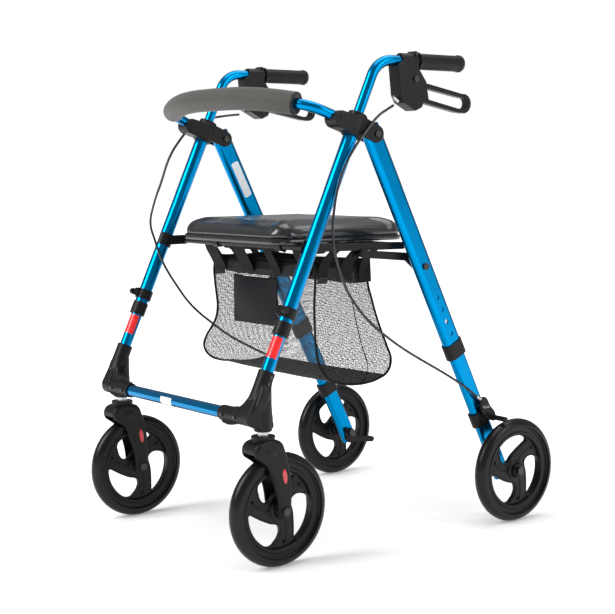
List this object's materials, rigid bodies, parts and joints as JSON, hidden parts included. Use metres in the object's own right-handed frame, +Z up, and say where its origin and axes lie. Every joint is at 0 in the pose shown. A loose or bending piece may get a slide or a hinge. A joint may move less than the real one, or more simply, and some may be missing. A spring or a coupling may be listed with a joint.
{
  "type": "rollator walker",
  "caption": "Folding four-wheeled rollator walker with seat, mesh basket, curved backrest, loop brakes and swivelling front wheels.",
  "frame": {"origin": "on the floor, under the middle of the bounding box", "axes": "+X to the user's left, -Y in the walking direction, +Z up"},
  "size_m": [0.59, 0.7399, 0.892],
  "materials": {
    "blue_anodised": "anodised metallic blue, satin gloss",
    "black_plastic": "moulded nylon, fine texture",
    "grip_rubber": "soft ribbed rubber",
    "foam": "closed-cell foam sleeve",
    "steel": "zinc-plated",
    "cable_sheath": "cable outer",
    "tyre": "solid polyurethane tyre",
    "rim_plastic": "moulded wheel centre",
    "black_steel": "powder coated",
    "seat_skin": "glossy moulded polyurethane skin",
    "mesh_fabric": "open polyester mesh with a woven rim"
  },
  "bodies": {
    "frame": {"front_leg_left": "blue_anodised", "front_leg_right": "blue_anodised", "handle_tubes": "blue_anodised", "fold_bracket_left": "black_plastic", "fold_bracket_right": "black_plastic", "bracket_bolts": "steel", "backrest_tube": "blue_anodised", "backrest_foam": "foam", "handle_grips": "grip_rubber", "lever_housing_left": "black_plastic", "lever_housing_right": "black_plastic", "lever_screws": "steel", "cable_adjusters": "steel", "brake_cable_left": "cable_sheath", "brake_cable_right": "cable_sheath", "front_leg_sleeves": "black_plastic", "height_clamps": "black_plastic", "seat_lugs": "black_steel", "basket_bag": "mesh_fabric"},
    "front_base": {"lower_legs": "blue_anodised", "crossbar": "blue_anodised", "caster_bracket_left": "black_plastic", "caster_bracket_right": "black_plastic", "bracket_screws": "steel"},
    "rear_legs": {"rear_leg_left": "blue_anodised", "rear_leg_right": "blue_anodised", "rear_leg_sleeves": "black_plastic", "link_bolts": "steel"},
    "seat_frame": {"seat_frame": "black_steel"},
    "side_links": {"side_links": "black_steel"},
    "seat": {"seat_board": "black_plastic", "seat_pad": "seat_skin"},
    "caster_left": {"caster_stem_left": "steel", "caster_fork_left": "black_plastic", "front_axle_left": "steel"},
    "front_wheel_left": {"front_rim_left": "rim_plastic", "front_tyre_left": "tyre"},
    "rear_foot_left": {"leg_extension_left": "blue_anodised", "brake_clamp_left": "black_plastic", "tip_lever_left": "black_plastic", "rear_axle_left": "steel"},
    "rear_wheel_left": {"rear_rim_left": "rim_plastic", "rear_tyre_left": "tyre"},
    "brake_lever_left": {"brake_lever_left": "black_plastic"},
    "brake_arm_left": {"brake_arm_left": "black_plastic"},
    "snap_button_left": {"snap_button_left": "steel"},
    "caster_right": {"caster_stem_right": "steel", "caster_fork_right": "black_plastic", "front_axle_right": "steel"},
    "front_wheel_right": {"front_rim_right": "rim_plastic", "front_tyre_right": "tyre"},
    "rear_foot_right": {"leg_extension_right": "blue_anodised", "brake_clamp_right": "black_plastic", "tip_lever_right": "black_plastic", "rear_axle_right": "steel"},
    "rear_wheel_right": {"rear_rim_right": "rim_plastic", "rear_tyre_right": "tyre"},
    "brake_lever_right": {"brake_lever_right": "black_plastic"},
    "brake_arm_right": {"brake_arm_right": "black_plastic"},
    "snap_button_right": {"snap_button_right": "steel"}
  },
  "joints": [
    {"name": "front_height", "type": "slide", "parent": "frame", "child": "front_base", "axis": [0, 0.4226, 0.9063], "range_m": [-0.026, 0.052]},
    {"name": "frame_fold", "type": "hinge", "parent": "frame", "child": "rear_legs", "pos_m": [0, -0.05521, 0.7432], "axis": [-1, 0, 0], "range_deg": [0, 26], "deforming": ["brake_cable_left", "brake_cable_right"]},
    {"name": "seat_lift", "type": "hinge", "parent": "frame", "child": "seat_frame", "pos_m": [0, -0.158, 0.544], "axis": [1, 0, 0], "range_deg": [0, 43]},
    {"name": "link_swing", "type": "hinge", "parent": "seat_frame", "child": "side_links", "pos_m": [0, -0.06, 0.53], "axis": [1, 0, 0], "range_deg": [-109.5, 0]},
    {"name": "seat_flip", "type": "hinge", "parent": "seat_frame", "child": "seat", "pos_m": [0, -0.158, 0.544], "axis": [1, 0, 0], "range_deg": [0, 70]},
    {"name": "caster_swivel_left", "type": "hinge", "parent": "front_base", "child": "caster_left", "pos_m": [0.234, -0.3, 0.25], "axis": [0, 0, 1], "continuous": true},
    {"name": "front_wheel_spin_left", "type": "hinge", "parent": "caster_left", "child": "front_wheel_left", "pos_m": [0.234, -0.27, 0.1], "axis": [1, 0, 0], "continuous": true},
    {"name": "rear_height_left", "type": "slide", "parent": "rear_legs", "child": "rear_foot_left", "axis": [0, -0.4512, 0.8924], "range_m": [-0.026, 0.052]},
    {"name": "rear_wheel_spin_left", "type": "hinge", "parent": "rear_foot_left", "child": "rear_wheel_left", "pos_m": [0.275, 0.27, 0.1], "axis": [1, 0, 0], "continuous": true},
    {"name": "brake_squeeze_left", "type": "hinge", "parent": "frame", "child": "brake_lever_left", "pos_m": [0.234, 0.038, 0.842], "axis": [1, 0, 0], "range_deg": [0, 12], "stiffness_Nm_per_rad": 2, "springref_deg": -5.73},
    {"name": "brake_press_left", "type": "hinge", "parent": "rear_foot_left", "child": "brake_arm_left", "pos_m": [0.234, 0.222, 0.212], "axis": [-1, 0, 0], "range_deg": [0, 8], "stiffness_Nm_per_rad": 1, "springref_deg": -5.73},
    {"name": "button_press_left", "type": "slide", "parent": "rear_foot_left", "child": "snap_button_left", "axis": [-1, 0, 0], "range_m": [0, 0.003], "stiffness_N_per_m": 400, "springref_m": -0.001},
    {"name": "caster_swivel_right", "type": "hinge", "parent": "front_base", "child": "caster_right", "pos_m": [-0.234, -0.3, 0.25], "axis": [0, 0, 1], "continuous": true},
    {"name": "front_wheel_spin_right", "type": "hinge", "parent": "caster_right", "child": "front_wheel_right", "pos_m": [-0.234, -0.27, 0.1], "axis": [1, 0, 0], "continuous": true},
    {"name": "rear_height_right", "type": "slide", "parent": "rear_legs", "child": "rear_foot_right", "axis": [0, -0.4512, 0.8924], "range_m": [-0.026, 0.052]},
    {"name": "rear_wheel_spin_right", "type": "hinge", "parent": "rear_foot_right", "child": "rear_wheel_right", "pos_m": [-0.275, 0.27, 0.1], "axis": [1, 0, 0], "continuous": true},
    {"name": "brake_squeeze_right", "type": "hinge", "parent": "frame", "child": "brake_lever_right", "pos_m": [-0.234, 0.038, 0.842], "axis": [1, 0, 0], "range_deg": [0, 12], "stiffness_Nm_per_rad": 2, "springref_deg": -5.73},
    {"name": "brake_press_right", "type": "hinge", "parent": "rear_foot_right", "child": "brake_arm_right", "pos_m": [-0.234, 0.222, 0.212], "axis": [-1, 0, 0], "range_deg": [0, 8], "stiffness_Nm_per_rad": 1, "springref_deg": -5.73},
    {"name": "button_press_right", "type": "slide", "parent": "rear_foot_right", "child": "snap_button_right", "axis": [1, 0, 0], "range_m": [0, 0.003], "stiffness_N_per_m": 400, "springref_m": -0.001}
  ],
  "couplings": [
    {"joint": "seat_lift", "follows": "frame_fold", "ratio": 1.6538},
    {"joint": "link_swing", "follows": "frame_fold", "ratio": -4.2115},
    {"joint": "rear_height_left", "follows": "front_height", "ratio": 1},
    {"joint": "brake_press_left", "follows": "brake_squeeze_left", "ratio": 0.6667},
    {"joint": "rear_height_right", "follows": "front_height", "ratio": 1},
    {"joint": "brake_press_right", "follows": "brake_squeeze_right", "ratio": 0.6667}
  ]
}
